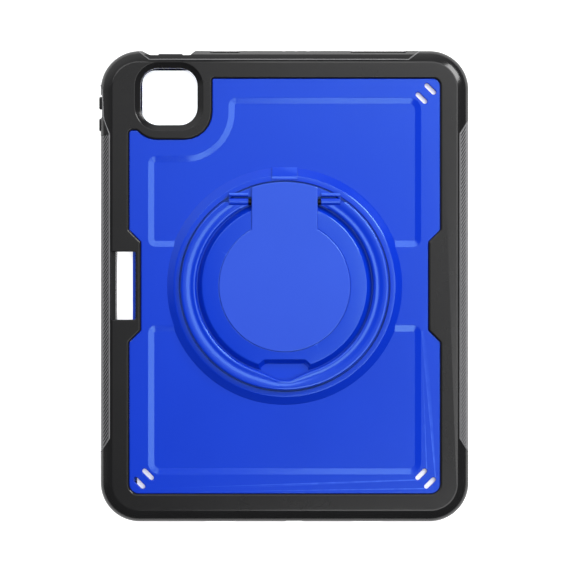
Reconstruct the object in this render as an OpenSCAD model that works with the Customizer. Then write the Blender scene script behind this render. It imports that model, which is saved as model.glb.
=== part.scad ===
// Rugged tablet case with a turntable stand on its back.
// The case lies on its screen side: +Z comes out of the back, +Y points to the camera end
// and +X is to the right for someone who looks at the back. Millimetres.

/* [Case] */
// Overall width over the bumper
case_w = 208; // [206:0.5:210]
// Overall length over the bumper
case_l = 266; // [264:0.5:268]
// Radius of the bumper's corners in plan
corner_r = 22; // [20:0.5:24]
// Height of the bumper's flat border above the table
border_z = 12; // [11.9:0.1:12.4]

/* [Tablet and stylus] */
// Width of the space for the tablet
tablet_w = 179; // [178.5:0.1:179.5]
// Length of the space for the tablet
tablet_l = 248; // [247.6:0.1:248.4]
// Radius of the tablet's corners in plan
tablet_r = 11; // [9:0.5:12]
// How far the tablet lies right of the case's middle
tablet_x = 5.3; // [5.2:0.05:5.4]
// How far the tablet lies above the case's middle
tablet_y = 1.8; // [1.5:0.1:2]
// Width of the stylus groove
groove_w = 9.5; // [9.2:0.1:9.6]
// Length of the stylus groove
groove_l = 168; // [166:1:169]

/* [Camera] */
// Side of the square camera opening
camera_w = 32; // [31:0.5:33]
// Corner radius of the camera opening
camera_r = 10; // [8:0.5:11]
// Width of the bevel round the camera opening
camera_bevel = 3.1; // [2:0.1:3.2]

/* [Stand] */
// Outer radius of the round housing's rim
rim_r = 62.1; // [62:0.1:63]
// Height of the housing's rim above the table
rim_z = 13.4; // [13:0.1:13.4]
// Radius of the flat disc in the middle
disc_r = 36.9; // [34:0.1:38]
// Inner radius of the ring handle
ring_inner_r = 49.6; // [49.2:0.1:50]
// Outer radius of the ring handle
ring_outer_r = 58.4; // [58:0.1:58.4]
// Distance from the stand's middle to the ring's hinge line
hinge_y = 47.2; // [47:0.1:47.5]

/* [Buttons] */
// Length of each volume button
volume_l = 7.1; // [6:0.1:8]
// Length of the power button
power_l = 14; // [12:0.5:16]
// How far a button can be pressed
button_travel = 0.6; // [0.4:0.1:0.6]

/* [Hidden] */
$fn = 96;

gap = 0.3;             // clearance between bodies that move apart
over = 1;              // how far a cutter runs past the face it cuts

// Heights, from the table up
lip_z = 0.6;           // lowest edge of the bumper
frame_top = 2;         // back of the front frame, where the tablet's glass begins
film_low = 1.55;       // front of the screen film
film_t = 0.3;
tape_t = 0.15;
shell_low = 2.2;       // front edge of the shell's side walls
pad_low = 8.3;         // back of the tablet
plate_low = 8.8;       // inner face of the shell's plate
flange_top = 9.8;      // the bumper's border lies on this level
panel_z = 10.9;        // outer face of the blue panel
recess_z = 10.4;       // outer face of its two recessed panels

// Plan of the tablet's space and of the shell round it
left_x = tablet_x - tablet_w / 2;
right_x = tablet_x + tablet_w / 2;
low_y = tablet_y - tablet_l / 2;
high_y = tablet_y + tablet_l / 2;
wall = 1.5;            // thickness of the shell's side walls
groove_right = left_x - wall;
groove_left = groove_right - groove_w;
window_x = [-97.8, -83.7];  // opening in the back, over the stylus
window_y = [-18.8, 19.3];

// Blue panel: what the bumper's border leaves in view
panel_x = 87.5;
panel_y = 116.8;
panel_r = 4.8;
bulge_x = 80.85;       // inner edge of the bumper's side bulges
bulge_y = 25;          // half their length
camera_x = -65.1;
camera_y = 106.7;
surround_x = -40.7;    // right edge of the black camera surround
surround_y = 82.4;     // its bottom edge
surround_r = 15.7;
finger_y = 87.6;       // top of the narrow blue strip left of the surround
recess_x = 75;         // the recessed panels, at the middle of their sloping band
recess_far_y = 104.2;
recess_near_y = 23.7;
recess_r = 4;
camera_band_x = -29.6;
camera_band_y = 71.5;
camera_band_r = 26.6;
slot_l = 8;            // strap slots
slot_w = 2.6;
pocket_l = 7;          // side of the strap's square pocket under the bridge between two slots
bridge_z = 0.9;        // depth of that pocket
slot_places = [[82, 111, -45], [77, 105.9, -45], [76.9, -106, 45], [81.8, -110.9, 45],
               [-76.9, -106, -45], [-81.8, -110.9, -45]];  // [x, y, angle], in pairs

// Bumper's outer wall: [inset, height] from the lip to the flat border
side_top = 5.5;        // the side is upright up to here
round_w = 7.5;         // width of the rounding in plan
outer_profile = concat([[0.8, lip_z], [0, lip_z + 1]],
    [for (a = [0:15:90]) [round_w * (1 - cos(a)), side_top + (border_z - side_top) * sin(a)]]);

// Side grips
grip_x = 98.6;
grip_low_z = 2.6;
grip_y = 85.6;
grip_end = 10;         // how far the slanted ends run on

// Front frame
frame_inset = 2.2;
frame_lip = 3.5;       // overlap on the tablet's edge
clip_l = 8;
clip_t = 1.2;
clip_top = 3.8;
clip_y = 30;
clip_x = 12;

// Stand, from the middle outwards and from the shell up
hub_hole_r = 40.1;     // hole in the shell that the turntable turns in
hub_fit = 0.06;        // radial clearance of the turntable in that hole
floor_low = 9.9;       // the shell's floor inside the housing
floor_top = 11.1;
keeper_r = 46.2;       // retaining ring
keeper_hole_r = 30;
keeper_low = 8.95;
keeper_t = 0.85;
washer_r = [47, 57];   // friction washer under the turntable's base
washer_t = 0.35;
base_low = floor_top + washer_t + 0.05;
base_top = 13;
base_r = 57.8;
housing_r = 59.3;      // inner wall of the housing
foot_r = 66.2;         // foot of its slope
hub_r = 46.4;
hub_low_z = 15.2;      // height of the sloping ring at its outer edge
hub_high_z = 16.5;     // and at the disc
seat_z = 16;           // the cap lies on this level
cap_top = 17.2;
core_r = 28;           // hollow under the hub
core_top = 14.6;
neck_x = 18.6;         // half width of the neck
ring_low = 14;
ring_top = 17.2;
cutter_top = 20;       // above everything in the stand
hinge_z = 15.6;
barrel_r = 2.1;
barrel_in = 20.4;      // the hinge barrels run from here
barrel_out = 31.2;     // to here on each side
pin_r = 1;
pin_fit = 0.05;
pin_in = 9;
pin_out = 30;
hinge_washer_r = 1.9;
ridge_y = [50, 52.4];  // fixed stop behind each barrel
ridge_top = 16.8;
ridge_under = 14.6;    // the stop passes over the rim at this height
screw_ring_r = 34.5;
screw_r = 1;
screw_head_r = 1.9;
screw_head_h = 0.7;
screw_l = 4;
screw_count = 6;
hub_notch = [[-11.8, -42.6], [11.8, -42.6], [15.5, -44.4], [15.5, -50], [-15.5, -50],
             [-15.5, -44.4]];  // thumb notch in the hub, in plan
ring_notch = [[-15, -40], [-15, -47.3], [-11, -49], [-3.4, -52.6], [3.4, -52.6], [11, -49],
              [15, -47.3], [15, -40]];  // and in the ring handle's inner edge

// Buttons
button_z = 5.2;
button_h = 3.6;
volume_places = [103.35, 91.05];
volume_out = 104.75;
power_x = -64.5;
power_out = 131.2;
notch_y = 130.2;       // bottom of the recess in the top edge
volume_head_d = 3.9;   // depth of the volume buttons' heads
power_head_d = 1.9;
flange_d = 1.2;
flange_lap = [1.2, 0.3];  // how far the flange stands out round the head: along it, across it
stem_w = 3;
stem_gap = 0.7;        // from the stem's end to the tablet

// Openings in the end walls
port_w = 11.2;
port_z = [2.9, 7.6];
slit_z = [3.9, 7.8];
top_slits = [[-42.5, -24.9], [36.8, 69]];
bottom_slits = [[-45, -27.4], [38, 55.6]];
mic_places = [-0.5, 6.3, 13.2];
mic_r = 1.2;
edge_cut_x = [-76.2, 69.7];
edge_slope = [[127.5, border_z + 0.01], [130.5, 9.8], [case_l / 2 + 0.1, 6]];  // [y, z]
notch_half = 11.3;     // half width of the power button's recess at its bottom
notch_mouth = [18, 15];  // and at the edge: left of the button, right of it
flat_y = [95, 107.5];  // flat round the volume buttons
flat_mouth = [94, 110];

// Middle of the pair of strap slots that starts at index i
function slot_pair(i) = [(slot_places[i][0] + slot_places[i + 1][0]) / 2,
    (slot_places[i][1] + slot_places[i + 1][1]) / 2, 0];

// ---- shared shapes ----

// Rectangle from [x0, y0] to [x1, y1] with round corners
module round_rect(x0, x1, y0, y1, r) {
    translate([x0 + r, y0]) square([x1 - x0 - 2 * r, y1 - y0]);
    translate([x0, y0 + r]) square([x1 - x0, y1 - y0 - 2 * r]);
    for (x = [x0 + r, x1 - r], y = [y0 + r, y1 - r]) translate([x, y]) circle(r);
}

// Round-cornered block whose wall follows a profile of [inset, height]
module lofted(w, l, r, profile) {
    last = len(profile) - 1;
    for (x = [-1, 1], y = [-1, 1]) translate([x * (w / 2 - r), y * (l / 2 - r), 0])
        rotate_extrude() polygon(concat([[0, profile[0][1]]],
            [for (p = profile) [r - p[0], p[1]]], [[0, profile[last][1]]]));
    rotate([90, 0, 90]) linear_extrude(w - 2 * r, center = true) section(l / 2, profile);
    rotate([90, 0, 0]) linear_extrude(l - 2 * r, center = true) section(w / 2, profile);
}

// Symmetrical cross-section of a lofted block
module section(half, profile) {
    last = len(profile) - 1;
    polygon(concat([for (p = profile) [half - p[0], p[1]]],
        [for (i = [last:-1:0]) [profile[i][0] - half, profile[i][1]]]));
}

module slab(z0, z1) translate([0, 0, z0]) linear_extrude(z1 - z0) children();

module block(x, y, z) translate([x[0], y[0], z[0]]) cube([x[1] - x[0], y[1] - y[0], z[1] - z[0]]);

module along_x(x0, x1) translate([x0, 0, 0]) rotate([90, 0, 90]) linear_extrude(x1 - x0) children();

module obround(l, w) {
    square([l - w, w], center = true);
    for (s = [-1, 1]) translate([s * (l - w) / 2, 0]) circle(w / 2);
}

module tablet_plan(grow = 0)
    round_rect(left_x - grow, right_x + grow, low_y - grow, high_y + grow, tablet_r + grow);

// The blue panel as it shows between the parts of the bumper's border
module panel_plan() {
    difference() {
        round_rect(-panel_x, panel_x, -panel_y, panel_y, panel_r);
        for (s = [-1, 1]) {
            slant = panel_x - bulge_x;
            polygon([[s * bulge_x, -bulge_y], [s * bulge_x, bulge_y],
                     [s * panel_x, bulge_y + slant], [s * panel_x, -bulge_y - slant]]);
        }
        surround_plan();
        translate([-panel_x - over, finger_y]) square([2 * over + 3, panel_y - finger_y + over]);
    }
}

module surround_plan()
    round_rect(-panel_x + 0.05, surround_x, surround_y, panel_y + 2 * surround_r, surround_r);

module recess_plan() {
    for (s = [-1, 1]) difference() {
        round_rect(-recess_x, recess_x, min(s * recess_near_y, s * recess_far_y),
            max(s * recess_near_y, s * recess_far_y), recess_r);
        circle(foot_r + 0.4);
        round_rect(-panel_x - camera_band_r, camera_band_x, camera_band_y,
            panel_y + 2 * camera_band_r, camera_band_r);
    }
}

module camera_opening() {
    slab(plate_low - 2 * over, border_z + over) round_rect(camera_x - camera_w / 2,
        camera_x + camera_w / 2, camera_y - camera_w / 2, camera_y + camera_w / 2, camera_r);
}

module stylus_window() block(window_x, window_y, [groove_top() - over, border_z + over]);

function groove_top() = flange_top - 0.1;

module end_openings(skin) {
    // skin is how far the cutters run out past the case's ends
    block([tablet_x - port_w / 2, tablet_x + port_w / 2], [-case_l / 2 - skin, low_y + over], port_z);
    for (s = top_slits) block(s, [high_y - over, case_l / 2 + skin], slit_z);
    for (s = bottom_slits) block(s, [-case_l / 2 - skin, low_y + over], slit_z);
    for (x = mic_places) translate([x, high_y - over, 5.6]) rotate([-90, 0, 0])
        cylinder(r = mic_r, h = case_l / 2 + skin - high_y + over);
}

module button_path(l, out, inner, head_d, grow, push) {
    // A button that is pressed along +X: head, flange and stem; out is its outer face
    h = button_h + 2 * grow;
    translate([-out, -l / 2 - grow, button_z - h / 2]) cube([head_d + flange_d / 2, l + 2 * grow, h]);
    translate([-out + head_d - grow, -l / 2 - flange_lap[0] - grow, button_z - h / 2 - flange_lap[1]])
        cube([flange_d + 2 * grow + push, l + 2 * flange_lap[0] + 2 * grow, h + 2 * flange_lap[1]]);
    translate([-out + head_d, -stem_w / 2 - grow, button_z - stem_w / 2 - grow])
        cube([inner - stem_gap + out - head_d + (grow > 0 ? 2 * stem_gap : 0),
              stem_w + 2 * grow, stem_w + 2 * grow]);
}

module volume_button(y, grow = 0, push = 0)
    translate([0, y, 0]) button_path(volume_l, volume_out, left_x,
        volume_head_d, grow, push);

module power_path(grow = 0, push = 0)
    translate([power_x, 0, 0]) rotate([0, 0, -90]) button_path(power_l, power_out,
        -high_y, power_head_d, grow, push);

module button_pockets() {
    for (y = volume_places) volume_button(y, gap, button_travel);
    power_path(gap, button_travel);
}

module grip_plan(side, top_end) {
    // side is -1 for the left strip; top_end is how far its upper end slants on
    far = case_w / 2 + over;
    polygon([[side * grip_x, -grip_y], [side * grip_x, grip_y],
             [side * far, grip_y + top_end], [side * far, -grip_y - grip_end]]);
}

left_top_end = -1;     // the left strip ends below the volume buttons

module clip_places() {
    for (y = [-clip_y, clip_y]) {
        translate([right_x + wall + gap + clip_t / 2, y, 0]) children();
        translate([groove_left - 1 - clip_t / 2, y, 0]) children();
    }
    for (x = [tablet_x - clip_x, tablet_x + clip_x]) {
        translate([x, high_y + wall + gap + clip_t / 2, 0]) rotate([0, 0, 90]) children();
        translate([x, low_y - wall - gap - clip_t / 2, 0]) rotate([0, 0, 90]) children();
    }
}

module clip(grow = 0)
    translate([-clip_t / 2 - grow, -clip_l / 2 - grow, frame_top - 0.5])
        cube([clip_t + 2 * grow, clip_l + 2 * grow, clip_top - frame_top + 0.5 + grow]);

// ---- front frame ----

module front_frame() color("#1c1d20") {
    difference() {
        union() {
            lofted(case_w - 2 * frame_inset, case_l - 2 * frame_inset, corner_r - frame_inset,
                [[0.7, 0], [0, 0.7], [0, frame_top]]);
            clip_places() clip();
        }
        slab(film_low - tape_t, frame_top + over) tablet_plan(-0.2);
        slab(-over, frame_top) tablet_plan(-frame_lip);
        slab(-over, frame_top + over) round_rect(groove_left + 0.2, groove_right - 0.2,
            -groove_l / 2, groove_l / 2, 3);
    }
}

module screen_film() color("#dfe9ee", 0.35) slab(film_low, film_low + film_t) tablet_plan(-0.5);

module film_tape() color("#2b2b2e") slab(film_low - tape_t, film_low) difference() {
    tablet_plan(-0.5);
    tablet_plan(-frame_lip + 0.3);
}

// ---- bumper and shell ----

module outer_body() lofted(case_w, case_l, corner_r, outer_profile);

module bumper() color("#26272a") {
    difference() {
        outer_body();
        // room for the front frame, the shell and the tablet
        slab(-over, frame_top) round_rect(-case_w / 2 + frame_inset - gap,
            case_w / 2 - frame_inset + gap, -case_l / 2 + frame_inset - gap,
            case_l / 2 - frame_inset + gap, corner_r - frame_inset + gap);
        slab(frame_top - over, flange_top) tablet_plan(wall);
        slab(flange_top - 0.05, border_z + over) panel_plan();
        clip_places() clip(gap);
        // stylus groove and its window
        slab(lip_z - over, groove_top()) round_rect(groove_left, groove_right + over,
            -groove_l / 2, groove_l / 2, 3);
        stylus_window();
        camera_opening();
        translate([camera_x, camera_y, 0]) lofted(camera_w + 2 * camera_bevel,
            camera_w + 2 * camera_bevel, camera_r + camera_bevel,
            [[camera_bevel, flange_top - 0.1], [-0.1, border_z + 0.1]]);
        // side strips
        slab(grip_low_z, border_z + over) {
            grip_plan(-1, left_top_end);
            grip_plan(1, grip_end);
        }
        // sloping edge at the camera end, and the recess for the power button
        along_x(edge_cut_x[0], edge_cut_x[1]) polygon(concat(edge_slope,
            [[case_l / 2 + over, border_z + over], [edge_slope[0][0], border_z + over]]));
        slab(lip_z - over, border_z + over) polygon([[power_x - notch_half, notch_y],
            [power_x + notch_half, notch_y], [power_x + notch_mouth[1], case_l / 2 + over],
            [power_x - notch_mouth[0], case_l / 2 + over]]);
        // flat round the volume buttons
        slab(lip_z - over, border_z + over) polygon([[-case_w / 2 + 1, flat_y[0]],
            [-case_w / 2 + 1, flat_y[1]], [-case_w / 2 - over, flat_mouth[1]],
            [-case_w / 2 - over, flat_mouth[0]]]);
        end_openings(over);
        button_pockets();
    }
}

module back_shell() color("#3459dd") {
    difference() {
        union() {
            slab(shell_low, flange_top) tablet_plan(wall);
            slab(flange_top, panel_z) panel_plan();
            rotate_extrude() polygon([[0, floor_low], [foot_r, floor_low], [foot_r, panel_z],
                [rim_r, rim_z], [0, rim_z]]);
        }
        slab(shell_low - over, plate_low) tablet_plan();
        slab(recess_z, panel_z + over) recess_plan();
        // housing for the turntable
        translate([0, 0, floor_top]) cylinder(r = housing_r, h = rim_z);
        cylinder(r = hub_hole_r, h = rim_z);
        cylinder(r = keeper_r + gap, h = floor_low);
        index_cut();
        // strap slots, with room for the strap to pass under the bridge between them
        for (p = slot_places) translate([p[0], p[1], plate_low - over]) rotate([0, 0, p[2]])
            linear_extrude(border_z) obround(slot_l, slot_w);
        for (i = [0, 2, 4]) translate(slot_pair(i)) rotate([0, 0, slot_places[i][2]])
            translate([-pocket_l / 2, -pocket_l / 2, plate_low - over])
            cube([pocket_l, pocket_l, over + bridge_z]);
        camera_opening();
        stylus_window();
        end_openings(over);
        button_pockets();
    }
}

module left_grip() color("#202124") grip(-1, left_top_end);

module right_grip() color("#202124") grip(1, grip_end);

module grip(side, top_end) intersection() {
    outer_body();
    slab(grip_low_z, border_z) grip_plan(side, top_end);
}

module lining_pad() color("#c9cbce") slab(pad_low, plate_low) difference() {
    tablet_plan(-1);
    round_rect(camera_x - camera_w / 2 - 1, camera_x + camera_w / 2 + 1,
        camera_y - camera_w / 2 - 1, camera_y + camera_w / 2 + 1, camera_r + 1);
    translate([window_x[0], window_y[0]])
        square([window_x[1] - window_x[0] + 0.1, window_y[1] - window_y[0]]);
}

// Section of the tab across the rim: [distance from the middle, height]
index_section = [[housing_r + 0.5, 12.2], [housing_r + 0.5, 14], [62.4, 14], [66.9, 11.3],
                 [66.9, panel_z - 0.2], [64.6, panel_z - 0.2], [63.4, 12.2]];
index_x = 7.2;

module index_tab() color("#3459dd") along_x(-index_x, index_x) polygon(index_section);

module index_cut() along_x(-index_x, index_x) polygon(index_section);

// ---- stand ----

module friction_washer() color("#b9bcc0") translate([0, 0, floor_top]) difference() {
    cylinder(r = washer_r[1], h = washer_t);
    translate([0, 0, -over]) cylinder(r = washer_r[0], h = washer_t + 2 * over);
}

module neck_plan(from_y) intersection() {
    circle(ring_outer_r);
    translate([-neck_x, from_y]) square([2 * neck_x, ring_outer_r - from_y]);
}

module pin_holes(r) for (s = [-1, 1]) translate([s * pin_in, hinge_y, hinge_z])
    rotate([0, s * 90, 0]) cylinder(r = r, h = pin_out - pin_in);

module turntable() color("#2f54d6") {
    difference() {
        union() {
            rotate_extrude() polygon([[0, keeper_low + keeper_t],
                [hub_hole_r - hub_fit, keeper_low + keeper_t], [hub_hole_r - hub_fit, base_low], [base_r, base_low], [base_r, base_top],
                [hub_r, base_top], [hub_r, hub_low_z], [disc_r + 0.1, hub_high_z],
                [disc_r + 0.1, seat_z], [0, seat_z]]);
            slab(base_top, seat_z) neck_plan(disc_r);
            // plate and fixed stop behind the barrels
            slab(base_top, hinge_z) intersection() {
                circle(ring_outer_r);
                translate([-barrel_out, ridge_y[0]]) square([2 * barrel_out, ridge_y[1]]);
            }
            for (s = [-1, 1]) {
                x = [s > 0 ? barrel_in : -barrel_out, s > 0 ? barrel_out : -barrel_in];
                block(x, ridge_y, [ridge_under, ridge_top]);
                intersection() {
                    block(x, ridge_y, [base_top, ridge_under]);
                    cylinder(r = ring_outer_r, h = ridge_top);
                }
            }
        }
        // seat for the cap's neck
        slab(seat_z, cap_top + over) neck_plan(disc_r / 2);
        // thumb notch at the foot of the sloping ring
        slab(base_top, cap_top) polygon(hub_notch);
        // room for the hinge barrels
        for (s = [-1, 1]) translate([s * (barrel_in + barrel_out) / 2, hinge_y, hinge_z])
            rotate([0, 90, 0]) cylinder(r = barrel_r + gap, h = barrel_out - barrel_in + 1,
                center = true);
        pin_holes(pin_r);
        translate([0, 0, keeper_low]) cylinder(r = core_r, h = core_top - keeper_low);
        screw_places() translate([0, 0, keeper_low]) cylinder(r = screw_r, h = screw_l);
    }
}

module stand_cap() color("#4468e6") {
    difference() {
        slab(seat_z, cap_top) {
            circle(disc_r);
            neck_plan(disc_r / 2);
        }
        pin_holes(pin_r);
    }
}

module screw_places() for (i = [0:screw_count - 1]) rotate([0, 0, 30 + i * 360 / screw_count])
    translate([screw_ring_r, 0, 0]) children();

module screw_solid() {
    translate([0, 0, keeper_low]) cylinder(r1 = screw_head_r, r2 = screw_r, h = screw_head_h);
    translate([0, 0, keeper_low]) cylinder(r = screw_r, h = screw_l);
}

module retaining_ring() color("#a9adb2") difference() {
    translate([0, 0, keeper_low]) cylinder(r = keeper_r, h = keeper_t);
    translate([0, 0, keeper_low - over]) cylinder(r = keeper_hole_r, h = 2 * over + 1);
    screw_places() screw_solid();
}

module retaining_screws() color("#8d9095") screw_places() difference() {
    screw_solid();
    translate([0, 0, keeper_low - over]) cylinder(r = 0.7, h = over + 0.4, $fn = 6);
}

module hinge_pins() color("#c3c6ca") pin_holes(pin_r);

module hinge_washers() color("#d9dbde") for (s = [-1, 1])
    translate([s * (neck_x + 0.1), hinge_y, hinge_z]) rotate([0, s * 90, 0]) difference() {
        cylinder(r = hinge_washer_r, h = barrel_in - neck_x - 0.2);
        translate([0, 0, -over]) cylinder(r = pin_r, h = 2 * over + 2);
    }

// Section of the ring handle: [radius, height]
ring_section = [[ring_inner_r, ring_low], [ring_inner_r, ring_top - 0.9], [50.9, ring_top],
                [52.9, ring_top - 0.8], [54.6, ring_top - 0.1], [56.6, ring_top - 0.1],
                [ring_outer_r, ring_top - 1], [ring_outer_r, ring_low]];
ring_end_y = 45.4;     // the ring's outer shoulders stop here, clear of the rim when it opens

module ring_handle() color("#3358dc") {
    difference() {
        union() {
            difference() {
                rotate_extrude() polygon(ring_section);
                // the ring ends at its hinge line
                block([-barrel_out, barrel_out], [hinge_y, ring_outer_r], [0, cutter_top]);
                block([-ring_outer_r, ring_outer_r], [ring_end_y, ring_outer_r], [0, cutter_top]);
                block([-barrel_in, barrel_in], [0, ring_outer_r], [0, cutter_top]);
            }
            for (s = [-1, 1]) {
                x = [s > 0 ? barrel_in : -barrel_out, s > 0 ? barrel_out : -barrel_in];
                translate([x[0], hinge_y, hinge_z]) rotate([0, 90, 0])
                    cylinder(r = barrel_r, h = barrel_out - barrel_in);
                intersection() {
                    block(x, [hinge_y - 4, hinge_y], [ring_low, hinge_z + 1.2]);
                    difference() {
                        cylinder(r = ring_outer_r, h = cutter_top);
                        cylinder(r = ring_inner_r, h = cutter_top);
                    }
                }
            }
        }
        // thumb notch in the ring's inner edge
        slab(0, cutter_top) polygon(ring_notch);
        pin_holes(pin_r + pin_fit);
    }
}

// ---- buttons ----

module volume_up_button() color("#2b2c2f") volume_button(volume_places[0]);

module volume_down_button() color("#2b2c2f") volume_button(volume_places[1]);

module power_button() color("#2b2c2f") power_path();

front_frame();
screen_film();
film_tape();
bumper();
back_shell();
left_grip();
right_grip();
lining_pad();
index_tab();
friction_washer();
turntable();
stand_cap();
retaining_ring();
retaining_screws();
hinge_pins();
hinge_washers();
ring_handle();
volume_up_button();
volume_down_button();
power_button();
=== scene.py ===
import math
import bmesh
import bpy
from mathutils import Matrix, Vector


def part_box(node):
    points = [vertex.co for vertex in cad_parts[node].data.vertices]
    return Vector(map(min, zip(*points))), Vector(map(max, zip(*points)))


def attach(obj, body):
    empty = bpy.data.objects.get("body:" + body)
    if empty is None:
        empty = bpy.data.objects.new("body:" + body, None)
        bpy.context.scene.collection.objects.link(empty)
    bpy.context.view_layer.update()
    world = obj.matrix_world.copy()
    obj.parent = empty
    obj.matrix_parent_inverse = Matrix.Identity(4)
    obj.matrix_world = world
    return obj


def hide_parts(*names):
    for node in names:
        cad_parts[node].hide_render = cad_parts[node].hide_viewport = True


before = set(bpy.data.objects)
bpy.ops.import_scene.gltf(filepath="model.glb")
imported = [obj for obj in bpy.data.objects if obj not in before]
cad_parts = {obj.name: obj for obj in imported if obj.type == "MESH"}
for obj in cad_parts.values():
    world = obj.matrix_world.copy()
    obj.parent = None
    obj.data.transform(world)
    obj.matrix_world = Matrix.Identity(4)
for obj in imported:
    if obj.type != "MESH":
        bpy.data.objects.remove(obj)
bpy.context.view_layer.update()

scene = bpy.context.scene
mm = 0.001  # every size below is in millimetres


# frame
def box(node):
    low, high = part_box(node)
    return [v / mm for v in low], [v / mm for v in high]


caseLow, caseHigh = box("bumper")
padLow, padHigh = box("lining_pad")
capLow, capHigh = box("stand_cap")
shellHigh = box("back_shell")[1]
pinLow, pinHigh = box("hinge_pins")
volumeBoxes = [box("volume_up_button"), box("volume_down_button")]
powerLow, powerHigh = box("power_button")
hingeY, hingeZ = (pinLow[1] + pinHigh[1]) / 2, (pinLow[2] + pinHigh[2]) / 2

case = {
    "cornerRadius": 22,
    "rounding": 7.3,      # width of the rounded shoulder in plan
    "turn": 66,           # how far the shoulder turns, in degrees; under 90 leaves a soft crease
    "upright": 5.5,       # the side is upright up to here
    "border": caseHigh[2],
    "flange": 9.8,        # the soft border lies on this level of the shell
    "panel": 10.9,
    "recess": 10.4,
    "plate": 8.8,
    "wall": 1.5,
}
tablet = [padLow[0] - 1, padHigh[0] + 1, padLow[1] - 1, padHigh[1] + 1]
tabletRadius = 11
grooveX = [tablet[0] - case["wall"] - 9.5, tablet[0] - case["wall"]]
grooveY = 84
windowPlace = [-97.8, -83.7, -18.8, 19.3]
cameraPlace = [-81.1, -49.1, 90.7, 122.7]
cameraRadius = 10


# mesh helpers
def unit(a, b):
    x, y = b[0] - a[0], b[1] - a[1]
    length = math.hypot(x, y)
    return x / length, y / length


def outline(corners, grow=0.0, steps=6):
    # corners are (x, y, radius), anticlockwise; offset copies keep the same number of points
    points = []
    for i, (x, y, r) in enumerate(corners):
        ax, ay = unit(corners[i - 1], corners[i])
        bx, by = unit(corners[i], corners[(i + 1) % len(corners)])
        cross, dot = ax * by - ay * bx, ax * bx + ay * by
        k = grow / (1 + dot)
        vx, vy = x + (ay + by) * k, y - (ax + bx) * k
        if r == 0:
            points.append((vx, vy))
            continue
        turn = math.atan2(cross, dot)
        side = math.copysign(1, turn)
        radius = max(r + side * grow, 0.05)
        t = radius * math.tan(abs(turn) / 2)
        cx, cy = vx - ax * t - ay * side * radius, vy - ay * t + ax * side * radius
        for j in range(steps + 1):
            a = turn * j / steps
            dx, dy = ay * side * radius, -ax * side * radius
            points.append((cx + dx * math.cos(a) - dy * math.sin(a),
                           cy + dx * math.sin(a) + dy * math.cos(a)))
    return points


def rect(x0, x1, y0, y1, r=0.0):
    return [(x0, y0, r), (x1, y0, r), (x1, y1, r), (x0, y1, r)]


def turned(corners, x, y, degrees):
    c, s = math.cos(math.radians(degrees)), math.sin(math.radians(degrees))
    return [(x + px * c - py * s, y + px * s + py * c, r) for px, py, r in corners]


def loft(name, rings, closed=False):
    count = len(rings[0])
    faces = []
    pairs = len(rings) if closed else len(rings) - 1
    for i in range(pairs):
        a, b = i * count, (i + 1) % len(rings) * count
        faces += [(a + j, a + (j + 1) % count, b + (j + 1) % count, b + j) for j in range(count)]
    if not closed:
        last = (len(rings) - 1) * count
        faces += [tuple(range(count))[::-1], tuple(range(last, last + count))]
    mesh = bpy.data.meshes.new(name)
    mesh.from_pydata([(x * mm, y * mm, z * mm) for ring in rings for x, y, z in ring], [], faces)
    obj = bpy.data.objects.new(name, mesh)
    scene.collection.objects.link(obj)
    tidy(obj)
    return obj


def tidy(obj, merge=1e-7):
    bm = bmesh.new()
    bm.from_mesh(obj.data)
    bmesh.ops.remove_doubles(bm, verts=bm.verts, dist=merge)
    bmesh.ops.dissolve_degenerate(bm, edges=bm.edges, dist=merge)
    bmesh.ops.recalc_face_normals(bm, faces=bm.faces)
    bm.to_mesh(obj.data)
    bm.free()


def tower(name, corners, profile, steps=6):
    # profile is a list of (offset, height)
    return loft(name, [[(x, y, z) for x, y in outline(corners, g, steps)] for g, z in profile])


def alongY(name, corners, y0, y1, steps=6):
    # an outline in X and Z, run along Y
    points = outline(corners, 0, steps)
    return loft(name, [[(x, y, z) for x, z in points] for y in (y0, y1)])


def alongX(name, corners, x0, x1, steps=6):
    points = outline(corners, 0, steps)
    return loft(name, [[(x, y, z) for y, z in points] for x in (x0, x1)])


def block(name, x, y, z):
    return tower(name, rect(x[0], x[1], y[0], y[1]), [(0, z[0]), (0, z[1])])


def lathe(name, profile, closed=False, steps=240):
    rings = []
    for r, z in profile:
        turn = [math.tau * j / steps for j in range(steps)]
        rings.append([(r * math.cos(a), r * math.sin(a), z) for a in turn])
    return loft(name, rings, closed)


def tube(name, path, radius):
    curve = bpy.data.curves.new(name, "CURVE")
    curve.dimensions = "3D"
    curve.bevel_depth, curve.bevel_resolution, curve.use_fill_caps = radius * mm, 2, True
    spline = curve.splines.new("POLY")
    spline.points.add(len(path) - 1)
    for point, (x, y, z) in zip(spline.points, path):
        point.co = (x * mm, y * mm, z * mm, 1)
    obj = bpy.data.objects.new(name, curve)
    scene.collection.objects.link(obj)
    bpy.context.view_layer.update()
    mesh = bpy.data.meshes.new_from_object(obj.evaluated_get(bpy.context.evaluated_depsgraph_get()))
    bpy.data.objects.remove(obj)
    solid = bpy.data.objects.new(name, mesh)
    scene.collection.objects.link(solid)
    tidy(solid)
    return solid


def bake(obj):
    bpy.context.view_layer.update()
    mesh = bpy.data.meshes.new_from_object(obj.evaluated_get(bpy.context.evaluated_depsgraph_get()))
    obj.modifiers.clear()
    obj.data = mesh


def combine(target, others, operation="DIFFERENCE"):
    for other in others:
        modifier = target.modifiers.new(operation, "BOOLEAN")
        modifier.object, modifier.operation, modifier.solver = other, operation, "MANIFOLD"
    bake(target)
    for other in others:
        bpy.data.objects.remove(other)
    return target


def bevelled(obj, width, segments=2, angle=35):
    modifier = obj.modifiers.new("bevel", "BEVEL")
    modifier.width, modifier.segments = width * mm, segments
    modifier.limit_method, modifier.angle_limit = "ANGLE", math.radians(angle)
    bake(obj)
    return obj


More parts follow.
